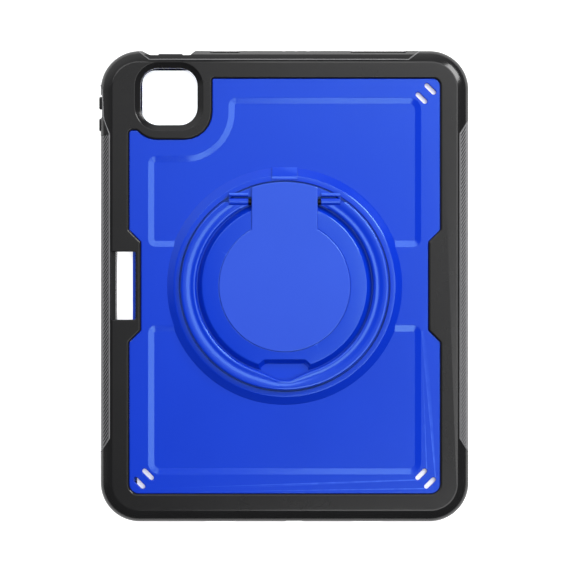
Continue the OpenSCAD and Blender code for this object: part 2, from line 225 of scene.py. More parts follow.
def place(obj, body, material, slotName, *nodes, angle=32):
    tidy(obj, 1e-6)
    obj.data.polygons.foreach_set("use_smooth", [True] * len(obj.data.polygons))
    obj.data.set_sharp_from_angle(angle=math.radians(angle))
    obj.data.materials.clear()
    obj.data.materials.append(material)
    obj.modifiers.new("even_normals", "WEIGHTED_NORMAL").keep_sharp = True
    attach(obj, body)
    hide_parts(*nodes)
    return obj


def quarter(width, height, steps=5):
    # points of a rounded edge: offset and height run from 0 to width and height
    return [(width * (1 - math.cos(a)), height * math.sin(a))
            for a in [math.pi / 2 * j / steps for j in range(steps + 1)]]


# materials
def linear(r, g, b):
    return [v / 12.92 if v <= 0.04045 else ((v + 0.055) / 1.055) ** 2.4
            for v in (r / 255, g / 255, b / 255)] + [1]


def newGroup(name, inputs, outputs):
    group = bpy.data.node_groups.new(name, "ShaderNodeTree")
    for label, value in inputs:
        socket = group.interface.new_socket(label, in_out="INPUT", socket_type="NodeSocketFloat")
        socket.default_value = value
    for label in outputs:
        group.interface.new_socket(label, in_out="OUTPUT", socket_type="NodeSocketFloat")
    return group, group.nodes.new("NodeGroupInput"), group.nodes.new("NodeGroupOutput")


def mouldedGrain():
    # fine spark-eroded grain with soft clouds over it
    group, start, end = newGroup("moulded grain", [("Grain Size", 0.4), ("Cloud Size", 30)],
                                 ["Height", "Clouds"])
    add, link = group.nodes.new, group.links.new
    coords = add("ShaderNodeTexCoord")
    for label, output, detail in (("Grain Size", "Height", 2), ("Cloud Size", "Clouds", 4)):
        scale = add("ShaderNodeMath")
        scale.operation = "DIVIDE"
        scale.inputs[0].default_value = 1 / mm
        link(start.outputs[label], scale.inputs[1])
        noise = add("ShaderNodeTexNoise")
        noise.inputs["Detail"].default_value = detail
        link(coords.outputs["Object"], noise.inputs["Vector"])
        link(scale.outputs[0], noise.inputs["Scale"])
        link(noise.outputs["Fac"], end.inputs[output])
    return group


def edgeWearAndSheen():
    # convex edges painted lighter, broken up by noise: partly rubbed wear, partly a painted sheen
    group, start, end = newGroup("edge wear and sheen", [("Start", 0.53), ("End", 0.6), ("Patch Size", 5)], ["Mask"])
    add, link = group.nodes.new, group.links.new
    geometry, coords = add("ShaderNodeNewGeometry"), add("ShaderNodeTexCoord")
    edge, noise, scale, both = (add("ShaderNodeMapRange"), add("ShaderNodeTexNoise"),
                                add("ShaderNodeMath"), add("ShaderNodeMath"))
    scale.operation, both.operation = "DIVIDE", "MULTIPLY"
    scale.inputs[0].default_value = 1 / mm
    link(start.outputs["Patch Size"], scale.inputs[1])
    link(coords.outputs["Object"], noise.inputs["Vector"])
    link(scale.outputs[0], noise.inputs["Scale"])
    link(geometry.outputs["Pointiness"], edge.inputs["Value"])
    link(start.outputs["Start"], edge.inputs["From Min"])
    link(start.outputs["End"], edge.inputs["From Max"])
    link(edge.outputs[0], both.inputs[0])
    link(noise.outputs["Fac"], both.inputs[1])
    link(both.outputs[0], end.inputs["Mask"])
    return group


grainGroup, wearSheenGroup = mouldedGrain(), edgeWearAndSheen()


def mixed(add, link, factor, first, second):
    mix = add("ShaderNodeMix")
    mix.data_type = "RGBA"
    mix.inputs["A"].default_value = first if isinstance(first, list) else (0, 0, 0, 1)
    if not isinstance(first, list):
        link(first, mix.inputs["A"])
    mix.inputs["B"].default_value = second
    link(factor, mix.inputs["Factor"])
    return mix.outputs["Result"]


def ranged(add, link, value, low, high):
    node = add("ShaderNodeMapRange")
    node.inputs["From Min"].default_value, node.inputs["From Max"].default_value = 0.3, 0.7
    node.inputs["To Min"].default_value, node.inputs["To Max"].default_value = low, high
    link(value, node.inputs["Value"])
    return node.outputs[0]


def moulded(name, finish):
    # moulded plastic or rubber: colour clouds, fine grain, edges painted lighter as rubbed wear and a painted
    # sheen
    material = bpy.data.materials.new(name)
    material.use_nodes = True
    tree = material.node_tree
    add, link = tree.nodes.new, tree.links.new
    shader = tree.nodes["Principled BSDF"]
    grain, wearSheen, bump = add("ShaderNodeGroup"), add("ShaderNodeGroup"), add("ShaderNodeBump")
    grain.node_tree, wearSheen.node_tree = grainGroup, wearSheenGroup
    grain.inputs["Grain Size"].default_value = finish["grain"]
    grain.inputs["Cloud Size"].default_value = finish["clouds"]
    wearSheen.inputs["Start"].default_value, wearSheen.inputs["End"].default_value = finish["wearSheen"]
    clouds = ranged(add, link, grain.outputs["Clouds"], 0, 1)
    colour = mixed(add, link, clouds, linear(*finish["colour"]), linear(*finish["shade"]))
    wornAndSheen = wearSheen.outputs["Mask"]
    # a per-vertex mask paints the marked areas lighter: a painted highlight
    if "grip_highlight" in finish:
        raised = add("ShaderNodeAttribute")
        raised.attribute_name = "grip_highlight"
        colour = mixed(add, link, raised.outputs["Fac"], colour, linear(*finish["grip_highlight"]))
    # convex edges take the lighter rubbed colour: rubbed wear together with a painted sheen
    colour = mixed(add, link, wornAndSheen, colour, linear(*finish["rubbedAndSheen"]))
    link(colour, shader.inputs["Base Color"])
    link(ranged(add, link, grain.outputs["Height"], *finish["roughness"]), shader.inputs["Roughness"])
    bump.inputs["Distance"].default_value = finish["depth"] * mm
    bump.inputs["Strength"].default_value = finish["strength"]
    link(grain.outputs["Height"], bump.inputs["Height"])
    link(bump.outputs["Normal"], shader.inputs["Normal"])
    shader.inputs["Specular IOR Level"].default_value = finish["gloss"]
    shader.inputs["Specular Tint"].default_value = finish.get("tint", (1, 1, 1)) + (1,)
    shader.inputs["Coat Weight"].default_value = finish.get("coat", 0)
    shader.inputs["Coat Roughness"].default_value = 0.25
    return material


# the rubbed colour lightens convex edges: partly rubbed wear, partly a painted sheen
blueFinish = {"colour": (6, 49, 195), "shade": (5, 47, 191), "rubbedAndSheen": (70, 112, 232), "grain": 0.35,
              "clouds": 45, "wearSheen": (0.56, 0.7), "roughness": (0.13, 0.17), "depth": 0.012, "strength": 0.35,
              "gloss": 0.75, "tint": (0.42, 0.8, 1.0)}
shellBlue = moulded("shell_blue", blueFinish)
standBlue = moulded("stand_blue", blueFinish | {"colour": (7, 51, 195), "shade": (6, 49, 191)})
capBlue = moulded("cap_blue", blueFinish | {"colour": (42, 73, 204), "shade": (40, 71, 201)})
ringBlue = moulded("ring_blue", blueFinish | {"roughness": (0.15, 0.19)})
# the rubbed colour lightens convex edges: partly rubbed wear, partly a painted sheen
softFinish = {"colour": (27, 27, 28), "shade": (24, 24, 25), "rubbedAndSheen": (70, 70, 72), "grain": 0.5,
              "clouds": 30,
              "wearSheen": (0.57, 0.68), "roughness": (0.13, 0.18), "depth": 0.02, "strength": 0.4, "gloss": 0.36}
bumperBlack = moulded("bumper_black", softFinish)
# light grey for the bead lines: a painted highlight along the grip borders and the top edge
bumperBeadHighlight = moulded("bumper_bead_highlight", softFinish | {"colour": (118, 118, 120), "shade": (104, 104, 106)})
# rib crests painted light grey as a painted highlight, the outer strip as a painted reflection of the floor
gripBlack = moulded("grip_black", softFinish | {
    "colour": (15, 15, 16), "shade": (12, 12, 13), "grip_highlight": (122, 122, 124),
    "roughness": (0.3, 0.36), "strength": 0.15, "gloss": 0.1})
buttonBlack = moulded("button_black", softFinish | {"colour": (34, 34, 36), "shade": (30, 30, 32)})
frameBlack = moulded("frame_black", softFinish | {"colour": (32, 33, 36), "roughness": (0.36, 0.46)})
tapeBlack = moulded("tape_black", softFinish | {"colour": (24, 24, 25), "grain": 0.25, "depth": 0.05})


def clearFilm():
    material = bpy.data.materials.new("film_clear")
    material.use_nodes = True
    tree = material.node_tree
    shader = tree.nodes["Principled BSDF"]
    grain = tree.nodes.new("ShaderNodeGroup")
    grain.node_tree = grainGroup
    grain.inputs["Grain Size"].default_value = 18
    rough = ranged(tree.nodes.new, tree.links.new, grain.outputs["Height"], 0.03, 0.09)
    tree.links.new(rough, shader.inputs["Roughness"])
    shader.inputs["Base Color"].default_value = (0.96, 0.98, 1, 1)
    shader.inputs["Transmission Weight"].default_value = 1
    shader.inputs["IOR"].default_value = 1.46
    return material


def brushedSteel(name, dark, light):
    material = bpy.data.materials.new(name)
    material.use_nodes = True
    tree = material.node_tree
    add, link = tree.nodes.new, tree.links.new
    shader = tree.nodes["Principled BSDF"]
    grain, bump = add("ShaderNodeGroup"), add("ShaderNodeBump")
    grain.node_tree = grainGroup
    grain.inputs["Grain Size"].default_value = 0.3
    grain.inputs["Cloud Size"].default_value = 6
    clouds = ranged(add, link, grain.outputs["Clouds"], 0, 1)
    link(mixed(add, link, clouds, dark, light), shader.inputs["Base Color"])
    link(ranged(add, link, grain.outputs["Height"], 0.2, 0.42), shader.inputs["Roughness"])
    bump.inputs["Distance"].default_value = 0.01 * mm
    link(grain.outputs["Height"], bump.inputs["Height"])
    link(bump.outputs["Normal"], shader.inputs["Normal"])
    shader.inputs["Metallic"].default_value = 1
    return material


def napped():
    # microfibre: short brushed nap over fine threads
    material = bpy.data.materials.new("lining_grey")
    material.use_nodes = True
    tree = material.node_tree
    add, link = tree.nodes.new, tree.links.new
    shader = tree.nodes["Principled BSDF"]
    coords, bump = add("ShaderNodeTexCoord"), add("ShaderNodeBump")
    heights = []
    for direction in ("X", "Y"):
        wave = add("ShaderNodeTexWave")
        wave.bands_direction = direction
        wave.inputs["Scale"].default_value = 320
        wave.inputs["Distortion"].default_value = 3
        link(coords.outputs["Object"], wave.inputs["Vector"])
        heights.append(wave.outputs["Fac"])
    both = add("ShaderNodeMath")
    both.operation = "MAXIMUM"
    link(heights[0], both.inputs[0])
    link(heights[1], both.inputs[1])
    colour = mixed(add, link, both.outputs[0], linear(236, 236, 240), linear(250, 250, 252))
    link(colour, shader.inputs["Base Color"])
    bump.inputs["Distance"].default_value = 0.08 * mm
    link(both.outputs[0], bump.inputs["Height"])
    link(bump.outputs["Normal"], shader.inputs["Normal"])
    shader.inputs["Roughness"].default_value = 0.85
    shader.inputs["Sheen Weight"].default_value = 0.4
    return material


print("materials ready")


# outlines that more than one piece uses
panel = {"x": 87.5, "y": 116.8, "bulgeX": 80.85, "bulgeY": 25, "surroundX": -40.7, "surroundY": 82.4,
         "surroundRadius": 15.7, "fingerY": 87.6, "fingerX": -83.0, "fingerTurn": -78.7}


def panelCorners():
    p = panel
    slant = p["x"] - p["bulgeX"]
    side = [(p["x"], -p["bulgeY"] - slant, 1.5), (p["bulgeX"], -p["bulgeY"], 1.5),
            (p["bulgeX"], p["bulgeY"], 1.5), (p["x"], p["bulgeY"] + slant, 1.5)]
    return ([(-p["x"], -p["y"], 5.4), (p["x"], -p["y"], 5.4)] + side +
            [(p["x"], p["y"], 4.2), (p["surroundX"], p["y"], 1),
             (p["surroundX"], p["surroundY"], p["surroundRadius"]), (p["fingerTurn"], p["surroundY"], 15.2),
             (p["fingerX"], p["fingerY"], 1.9), (-p["x"], p["fingerY"], 1.8)] +
            [(-x, y, r) for x, y, r in reversed(side)])


def shellOutline(grow):
    return outline(rect(*tablet, tabletRadius), grow, 12)


openings = {
    "port": (-0.3, 10.9, 2.9, 7.6),
    "slitZ": (3.9, 7.8),
    "topSlitZ": (3.9, 8.5),
    "topSlits": [(-42.5, -24.9), (36.8, 69)],
    "bottomSlits": [(-45, -27.4), (38, 55.6)],
    "micX": (-0.5, 6.3, 13.2),
    "micRadius": 1.2,
    "micZ": 5.6,
}


def endOpenings():
    o = openings
    reach = caseHigh[1] + 2
    inner = [tablet[2] + 1, tablet[3] - 1]
    found = [alongY("port", rect(*o["port"], 2.2), -reach, inner[0])]
    for x0, x1 in o["bottomSlits"]:
        found.append(alongY("slit", rect(x0, x1, *o["slitZ"], 1.9), -reach, inner[0]))
    for x0, x1 in o["topSlits"]:
        found.append(alongY("slit", rect(x0, x1, *o["topSlitZ"], 1.9), inner[1], reach))
    for x in o["micX"]:
        r, z = o["micRadius"], o["micZ"]
        found.append(alongY("mic", rect(x - r, x + r, z - r, z + r, r * 0.98), inner[1], reach))
    return found


button = {"headHigh": 3.6, "z": 5.2, "flange": 1.2, "flangeZ": 0.3, "flangeDeep": 1.2, "stem": 3, "gap": 0.3,
          "travel": 0.6, "volumeHead": 3.9, "powerHead": 1.9, "volumeLength": 7.1, "powerLength": 14}


def buttonParts(length, head, depth, grow, push):
    # boxes of a button that is pressed towards +X, with its outer face at x = 0: head, flange, stem
    b = button
    h, l = b["headHigh"] / 2 + grow, length / 2 + grow
    f, fz = l + b["flange"], h + b["flangeZ"]
    s = b["stem"] / 2 + grow
    extra = 0.7 if grow else 0
    return [((0, head + 0.6), (-l, l), (b["z"] - h, b["z"] + h), 1.2),
            ((head - grow, head + b["flangeDeep"] + grow + push), (-f, f), (b["z"] - fz, b["z"] + fz), 0.6),
            ((head, depth + extra), (-s, s), (b["z"] - s, b["z"] + s), 0.5)]


def buttonSolids(kind, grow=0.0, push=0.0):
    if kind == "power":
        places = [(powerHigh[1], (powerLow[0] + powerHigh[0]) / 2)]
        depth = powerHigh[1] - powerLow[1]
        parts = buttonParts(button["powerLength"], button["powerHead"], depth, grow, push)
    else:
        low, high = volumeBoxes[kind]
        places = [(low[0], (low[1] + high[1]) / 2)]
        parts = buttonParts(button["volumeLength"], button["volumeHead"], high[0] - low[0], grow, push)
    solids = []
    for out, middle in places:
        for (d0, d1), (w0, w1), (z0, z1), r in parts:
            reach = 1.5 if grow and d0 == 0 else 0
            if kind == "power":
                corners = rect(middle + w0, middle + w1, z0, z1, r)
                solids.append(alongY("key", corners, out - d1, out - d0 + reach, 4))
            else:
                corners = rect(middle + w0, middle + w1, z0, z1, r)
                solids.append(alongX("key", corners, out + d0 - reach, out + d1, 4))
    return solids


def buttonPockets():
    return [s for kind in (0, 1, "power") for s in buttonSolids(kind, button["gap"], button["travel"])]


clips = {"x": 12, "y": 30, "length": 8, "thick": 1.2, "top": 3.8, "low": 1.5}


def clipBlocks(grow=0.0):
    middleX = (tablet[0] + tablet[1]) / 2
    places = []
    outside = case["wall"] + 0.3 + clips["thick"] / 2
    for y in (-clips["y"], clips["y"]):
        places += [(tablet[1] + outside, y, 0), (grooveX[0] - 1 - clips["thick"] / 2, y, 0)]
    for x in (middleX - clips["x"], middleX + clips["x"]):
        places += [(x, tablet[3] + outside, 90), (x, tablet[2] - outside, 90)]
    t, l = clips["thick"] / 2 + grow, clips["length"] / 2 + grow
    return [tower("clip", turned(rect(-t, t, -l, l), x, y, a), [(0, clips["low"]), (0, clips["top"] + grow)])
            for x, y, a in places]


# soft bumper
grip = {"x": 98.6, "low": 2.6, "y": 85.6, "slant": 10 / 6.4, "leftTop": -1 / 6.4, "bead": 0.34}
bumper = {"fillet": 1.3, "windowFillet": 0.7, "funnel": 3.1, "funnelStep": 0.5}


shoulderWide = case["rounding"] / (1 - math.cos(math.radians(case["turn"])))
shoulderHigh = (case["border"] - case["upright"]) / math.sin(math.radians(case["turn"]))


def shoulder(a):
    # inset, height and outward normal of the shoulder at turn a
    nx, nz = math.cos(a) / shoulderWide, math.sin(a) / shoulderHigh
    length = math.hypot(nx, nz)
    inset, z = shoulderWide * (1 - math.cos(a)), case["upright"] + shoulderHigh * math.sin(a)
    return inset, z, nx / length, nz / length


def shoulderTurn(inset):
    return math.acos(min(max(1 - inset / shoulderWide, math.cos(math.radians(case["turn"]))), 1))


def shoulderZ(inset):
    return shoulder(shoulderTurn(inset))[1]


def outerProfile():
    rounded = [shoulder(math.radians(case["turn"]) * j / 14)[:2] for j in range(15)]
    return [(-0.8, 0.6), (-0.25, 0.85), (0, 1.6)] + [(-inset, z) for inset, z in rounded]


def gripEnds(side, x):
    out = abs(x) - grip["x"]
    top = grip["slant"] if side > 0 else grip["leftTop"]
    return -grip["y"] - grip["slant"] * out, grip["y"] + top * out


topEdge = {"inner": 127.5, "west": -76.2, "east": 69.7, "westReach": 7, "eastReach": 7.3, "depth": 5.5}


def topEdgeEnds(y):
    k = (y - topEdge["inner"]) / topEdge["depth"]
    return topEdge["west"] - topEdge["westReach"] * k, topEdge["east"] + topEdge["eastReach"] * k


def slopeCut():
    section = outline([(topEdge["inner"], 12.02, 0), (topEdge["inner"], 14, 0), (136, 14, 0), (136, 6, 0),
                       (133.1, 6, 0), (130.5, 9.9, 0.8)])
    return loft("slope", [[(topEdgeEnds(y)[i], y, z) for y, z in section] for i in (0, 1)])


def topEdgePath():
    ys = [132.65 - 5.15 * j / 10 for j in range(11)]
    west = [(topEdgeEnds(y)[0], y, shoulderZ(caseHigh[1] - y)) for y in ys]
    east = [(topEdgeEnds(y)[1], y, shoulderZ(caseHigh[1] - y)) for y in reversed(ys)]
    middle = [(topEdge["west"] + (topEdge["east"] - topEdge["west"]) * j / 20, topEdge["inner"], 11.93)
              for j in range(1, 20)]
    return west + middle + east


def beadPath(side):
    reach = caseHigh[0]
    xs = [reach - 0.4 - 5 * j / 10 for j in range(11)]
    low = [(side * x, gripEnds(side, x)[0], shoulderZ(reach - x)) for x in xs]
    if side > 0:
        high = [(x, gripEnds(side, x)[1], shoulderZ(reach - x)) for x in reversed(xs)]
    else:
        # on the left it climbs past the volume buttons
        turns = [(98.6, grip["y"]), (100.4, 90.2), (101.7, 93.6), (102.2, 96), (102.5, 104), (102.8, 110),
                 (103.7, 113.5)]
        high = [(-x, y, shoulderZ(reach - x)) for x, y in turns]
    count = 40
    x, y0, z = low[-1]
    middle = [(x, y0 + (high[0][1] - y0) * j / count, z) for j in range(1, count)]
    ends = [(low[0][0], low[0][1], grip["low"])], [(high[-1][0], high[-1][1], grip["low"])]
    return ends[0] + low + middle + high + (ends[1] if side > 0 else [])


def nearPath(point, paths, limit):
    for path in paths:
        for a, b in zip(path, path[1:]):
            along = b - a
            k = min(max((point - a).dot(along) / along.length_squared, 0), 1)
            if (a + along * k - point).length < limit:
                return True
    return False


def softBumper():
    c = case
    body = tower("soft_bumper", rect(caseLow[0], caseHigh[0], caseLow[1], caseHigh[1], c["cornerRadius"]),
                 outerProfile(), 24)
    fillet = [(g, c["border"] - bumper["fillet"] + z)
              for g, z in quarter(bumper["fillet"], bumper["fillet"])[:-1]]
    panelCut = tower("panel", panelCorners(), [(0, c["flange"] - 0.1)] + fillet +
                     [(bumper["fillet"] * 0.98, c["border"] + 0.02), (bumper["fillet"], 13)])
    f = bumper["funnel"]
    funnel = tower("funnel", rect(*cameraPlace, cameraRadius),
                   [(0, 8), (0, 9.9), (bumper["funnelStep"], 9.95), (f - 0.35, 11.6), (f, 11.9),
                    (f + 0.5, 12.05), (f + 0.6, 13)], 10)
    w = bumper["windowFillet"]
    window = tower("window", rect(*windowPlace, 1.2),
                   [(0, 8)] + [(g, c["border"] - w + z) for g, z in quarter(w, w, 4)[:-1]] +
                   [(w, c["border"] + 0.02), (w, 13)])
    inset = 1.9
    cutters = [
        tower("rebate", rect(caseLow[0] + inset, caseHigh[0] - inset, caseLow[1] + inset, caseHigh[1] - inset,
                             c["cornerRadius"] - inset), [(0, -1), (0, 2)], 16),
        loft("tub", [[(x, y, z) for x, y in shellOutline(c["wall"])] for z in (1, c["flange"])]),
        panelCut, funnel, window,
        tower("groove", rect(grooveX[0], grooveX[1] + 1, -grooveY, grooveY, 3), [(0, -1), (0, 9.7)]),
        slopeCut(),
        tower("powerRecess", [(-75.8, 130.2, 1), (-53.2, 130.2, 1), (-49.5, 134, 0), (-82.5, 134, 0)],
              [(0, -1), (0, 14)]),
        tower("volumeFlat", [(-106, 94, 0), (-103, 95, 1), (-103, 107.5, 1), (-106, 110, 0)],
              [(0, -1), (0, 14)]),
    ]
    for side in (-1, 1):
        far = caseHigh[0] + 3
        low, high = gripEnds(side, far)
        corners = [(side * grip["x"], -grip["y"], 1), (side * far, low, 0), (side * far, high, 0),
                   (side * grip["x"], grip["y"], 1)]
        cutters.append(tower("pocket", corners if side > 0 else corners[::-1], [(0, grip["low"]), (0, 14)]))
    combine(body, cutters + endOpenings() + buttonPockets() + clipBlocks(0.3))
    paths = [beadPath(-1), beadPath(1), topEdgePath()]
    combine(body, [tube("bead", path, grip["bead"]) for path in paths], "UNION")
    place(body, "shell", bumperBlack, "bumper_black", "bumper")
    # faces along the beads take the light grey second material, a painted highlight
    body.data.materials.append(bumperBeadHighlight)
    paths = [[Vector(p) * mm for p in path] for path in paths]
    for face in body.data.polygons:
        edgeZone = face.center.z > 5 * mm and face.area < 6 * mm * mm
        if edgeZone and nearPath(face.center, paths, grip["bead"] * 1.02 * mm):
            face.material_index = 1
    return body


softBumper()
print("bumper ready")


# side grips
rib = {"pitch": 1.15, "lean": 60, "deep": 0.45, "from": 99.1, "to": 102.5, "inset": 0.15, "step": 0.22}


def ribDepth(x, y):
    a = math.radians(rib["lean"])
    across = (x * math.sin(a) - y * math.cos(a)) / rib["pitch"]
    wave = abs((across % 1) * 2 - 1)
    fade = min(max((abs(x) - rib["from"]) / 0.5, 0), 1) * min(max((rib["to"] - abs(x)) / 0.6, 0), 1)
    return rib["inset"] + rib["deep"] * fade * min(max(wave * 1.6 - 0.3, 0), 1)


def sideGrip(name, side, node):
    stop = shoulderTurn(caseHigh[0] - grip["x"])
    section = [(0, grip["low"] + 0.05, 1, 0)] + [shoulder(stop * j / 28) for j in range(29)]
    rings = []
    count = int(2 * grip["y"] / rib["step"])
    for i in range(count + 1):
        ring = []
        for inset, z, nx, nz in section:
            x = caseHigh[0] - inset
            low, high = gripEnds(side, x)
            y = low + 0.15 + (high - low - 0.3) * i / count
            d = ribDepth(side * x, y)
            ring.append((side * max(x - nx * d, grip["x"] + 0.05), y, z - nz * d))
        low, high = gripEnds(side, grip["x"])
        y = low + 0.15 + (high - low - 0.3) * i / count
        ring.append((side * (grip["x"] + 0.05), y, grip["low"] + 0.05))
        rings.append(ring)
    body = place(loft(name, rings), "shell", gripBlack, "grip_black", node, angle=50)
    # mask for the painted light: painted highlight on the rib crests, painted reflection on the outermost
    # strip
    grip_highlight = body.data.attributes.new("grip_highlight", "FLOAT", "POINT")
    for vertex, value in zip(body.data.vertices, grip_highlight.data):
        x, y = vertex.co.x / mm, vertex.co.y / mm
        raised = min(max(1 - (ribDepth(x, y) - rib["inset"]) / rib["deep"], 0), 1)
        value.value = raised if rib["from"] < abs(x) < rib["to"] else 0.75 if abs(x) > rib["to"] else 0
    return body


sideGrip("ribbed_grip_left", -1, "left_grip")
sideGrip("ribbed_grip_right", 1, "right_grip")
print("grips ready")


# back shell
housing = {"inner": 59.3, "top": shellHigh[2], "floor": 11.1, "hub": 40.1, "keeper": 46.5}
recess = {"x": 77, "far": 106.2, "near": 21.9, "radius": 4.5, "farRadius": 6.8, "band": 3.8,
          "cameraX": -31.7, "cameraY": 73.4, "cameraRadius": 24.7}
slots = {"long": 8, "wide": 2.6, "places": [(82, 111, -45), (77, 105.9, -45), (76.9, -106, 45),
                                             (81.8, -110.9, 45), (-76.9, -106, -45), (-81.8, -110.9, -45)]}
tab = {"half": 7.2, "section": [(59.8, 12.2), (63.4, 12.2), (64.6, 10.7), (66.9, 10.7), (66.9, 11.3),
                                (62.4, 14), (59.8, 14)]}


def recessCut(corners):
    band, top, low = recess["band"], case["panel"], case["recess"]
    return tower("recess", corners, [(-band, low), (-band + 0.35, low + 0.03), (-0.3, top - 0.03), (0, top),
                                     (0.4, top + 0.4)], 10)


def hardShell():
    c, h, r = case, housing, recess
    panelTop = tower("panel", panelCorners(), [(-0.03, 9.72), (-0.03, c["panel"] - 0.5)] +
                     [(-0.03 - g, c["panel"] - 0.5 + z) for g, z in quarter(0.5, 0.5, 4)[1:]])
    upper = [(-r["x"], r["near"], r["radius"]), (r["x"], r["near"], r["radius"]),
             (r["x"], r["far"], r["farRadius"]), (r["cameraX"], r["far"], r["radius"]),
             (r["cameraX"], r["cameraY"], r["cameraRadius"]),
             (-r["x"], r["cameraY"], r["radius"])]
    lower = [(-r["x"], -r["far"], r["farRadius"]), (r["x"], -r["far"], r["farRadius"]),
             (r["x"], -r["near"], r["radius"]), (-r["x"], -r["near"], r["radius"])]
    combine(panelTop, [recessCut(upper), recessCut(lower)])
    body = loft("hard_shell", [[(x, y, z) for x, y in shellOutline(c["wall"])] for z in (2.2, c["flange"])])
    combine(body, [panelTop], "UNION")
    combine(body, [lathe("well", [(60.5, 9.9), (60.5, 20)]),
                   lathe("keeperWell", [(h["keeper"], 0), (h["keeper"], 9.9)]),
                   lathe("hubHole", [(h["hub"], 0), (h["hub"], 20)])])
    top = h["top"]
    ring = lathe("housing", [(47, 9.2), (66.9, 9.2), (66.9, 10.35), (66.5, 10.7), (66.1, 10.95),
                             (65.6, 11.25),
                             (62.7, top - 0.32), (62.35, top - 0.12), (62.0, top), (59.55, top),
                             (59.38, top - 0.06), (h["inner"], top - 0.22), (h["inner"], h["floor"]),
                             (h["hub"], h["floor"]), (h["hub"], 9.9), (47, 9.9)], closed=True)
    combine(body, [ring], "UNION")
    cutters = [loft("inside", [[(x, y, z) for x, y in shellOutline(0)] for z in (0, c["plate"])]),
               tower("cameraHole", rect(*cameraPlace, cameraRadius), [(0, 7), (0, 14)], 10),
               block("window", (windowPlace[0], windowPlace[1]), (windowPlace[2], windowPlace[3]), (8, 14)),
               alongX("tabSeat", [(y, z, 0) for y, z in tab["section"]], -tab["half"], tab["half"])]
    half, wide = slots["long"] / 2, slots["wide"] / 2
    for x, y, angle in slots["places"]:
        cutters.append(tower("slot", turned(rect(-half, half, -wide, wide, wide * 0.98), x, y, angle),
                             [(0, 7), (0, 10.3), (0.12, 10.7), (0.45, 10.95), (0.5, 12)], 8))
    combine(body, cutters + endOpenings() + buttonPockets())
    return place(body, "shell", shellBlue, "shell_blue", "back_shell")


def indexTab():
    half = tab["half"] - 0.08
    body = alongX("index_catch", [(y, z, 0) for y, z in tab["section"]], -half, half)
    bevelled(body, 0.12, 2)
    return place(body, "shell", shellBlue, "shell_blue", "index_tab")


hardShell()
indexTab()
print("shell ready")


# turntable, cap and ring
stand = {"base": 57.8, "baseTop": 13, "hub": 46.4, "hubLow": 16.4, "hubHigh": 16.68,
         "seat": capLow[2], "cap": capHigh[2], "disc": 36.9, "neck": 18.6, "outer": 58.4,
         "plateX": 31.2, "plateY": 50, "plateTop": 15.6, "barrelIn": 20.4, "barrelRadius": 2.1,
         "core": 28, "coreTop": 14.6, "ringInner": 49.6}


def capOutline(grow, low=0.0):
    # disc with a neck that ends on the ring's outer circle; low > 0 keeps only the neck above that y
    half, disc, outer = stand["neck"] + grow, stand["disc"] + grow, stand["outer"] + grow
    start = math.acos(half / disc)
    if low:
        points = [(-half, low), (half, low)]
    else:
        points = [(disc * math.cos(math.pi - start + (math.pi + 2 * start) * j / 120),
                   disc * math.sin(math.pi - start + (math.pi + 2 * start) * j / 120)) for j in range(121)]
    edge = math.acos(half / outer)
    points += [(outer * math.cos(edge + (math.pi - 2 * edge) * j / 24),
                outer * math.sin(edge + (math.pi - 2 * edge) * j / 24)) for j in range(25)]
    return points


def hingePlate():
    reach, y0, half = stand["outer"] - 0.05, stand["plateY"], stand["plateX"]
    start = math.acos(half / reach)
    points = [(-half, y0), (half, y0)]
    points += [(reach * math.cos(start + (math.pi - 2 * start) * j / 32),
                reach * math.sin(start + (math.pi - 2 * start) * j / 32)) for j in range(33)]
    return points


def turntable():
    s = stand
    body = lathe("turntable_disc", [
        (s["core"], s["coreTop"]), (s["core"], 9.8), (40.04, 9.8), (40.04, 11.5), (s["base"] - 0.3, 11.5),
        (s["base"], 11.8), (s["base"], s["baseTop"] - 0.3), (s["base"] - 0.3, s["baseTop"]),
        (s["hub"] + 2.6, s["baseTop"]), (s["hub"] + 0.3, s["hubLow"] - 0.7),
        (s["hub"] + 0.05, s["hubLow"] - 0.35), (s["hub"] - 0.25, s["hubLow"] - 0.1),
        (s["hub"] - 0.7, s["hubLow"] + 0.03), (s["disc"] + 0.7, s["hubHigh"] - 0.02),
        (s["disc"] + 0.2, s["hubHigh"]), (s["disc"] + 0.1, s["hubHigh"] - 0.04),
        (s["disc"] + 0.1, s["seat"] - 0.01)])
    plate = hingePlate()
    root = s["baseTop"] - 0.5
    added = [loft("plate", [[(x, y, z) for x, y in plate] for z in (root, s["plateTop"])]),
             loft("neck", [[(x, y, z) for x, y in capOutline(-0.02, 30)] for z in (root, s["seat"])])]
    bevelled(added[0], 0.3, 2)
    combine(body, added, "UNION")
    half, barrel = s["plateX"], s["barrelRadius"] + 0.3
    notch = [(-15.6, -52, 0), (15.6, -52, 0), (15.6, -44.6, 1), (11.6, -41.2, 1.5), (-11.6, -41.2, 1.5),
             (-15.6, -44.6, 1)]
    cutters = [tower("notch", notch, [(-2.4, s["baseTop"]), (-2.2, s["baseTop"] + 0.4), (-0.4, 16.0),
                                      (0.3, 16.6), (0.6, 17.2), (0.8, 18)])]
    neckTop = loft("seat", [[(x, y, z) for x, y in capOutline(0.05, 18)] for z in (s["seat"], 19)])
    cutters.append(neckTop)
    for side in (-1, 1):
        x = sorted((side * (s["barrelIn"] - 1.6), side * (half + 1)))
        circle = [(hingeY + barrel * math.cos(a), hingeZ + barrel * math.sin(a), 0)
                  for a in [math.tau * j / 40 for j in range(40)]]
        cutters.append(alongX("barrelRoom", circle, *x))
    combine(body, cutters)
    ridges = []
    for side in (-1, 1):
        x = sorted((side * s["barrelIn"], side * half))
        corners = [(50.05, 14.7, 0), (52.35, 14.7, 0.3), (52.35, 16.8, 1.1), (50.05, 16.8, 1.1)]
        ridge = alongX("ridge", corners, *x, 5)
        ridges.append(bevelled(ridge, 0.35, 3, 50))
    combine(body, ridges, "UNION")
    return place(body, "turntable", standBlue, "stand_blue", "turntable")


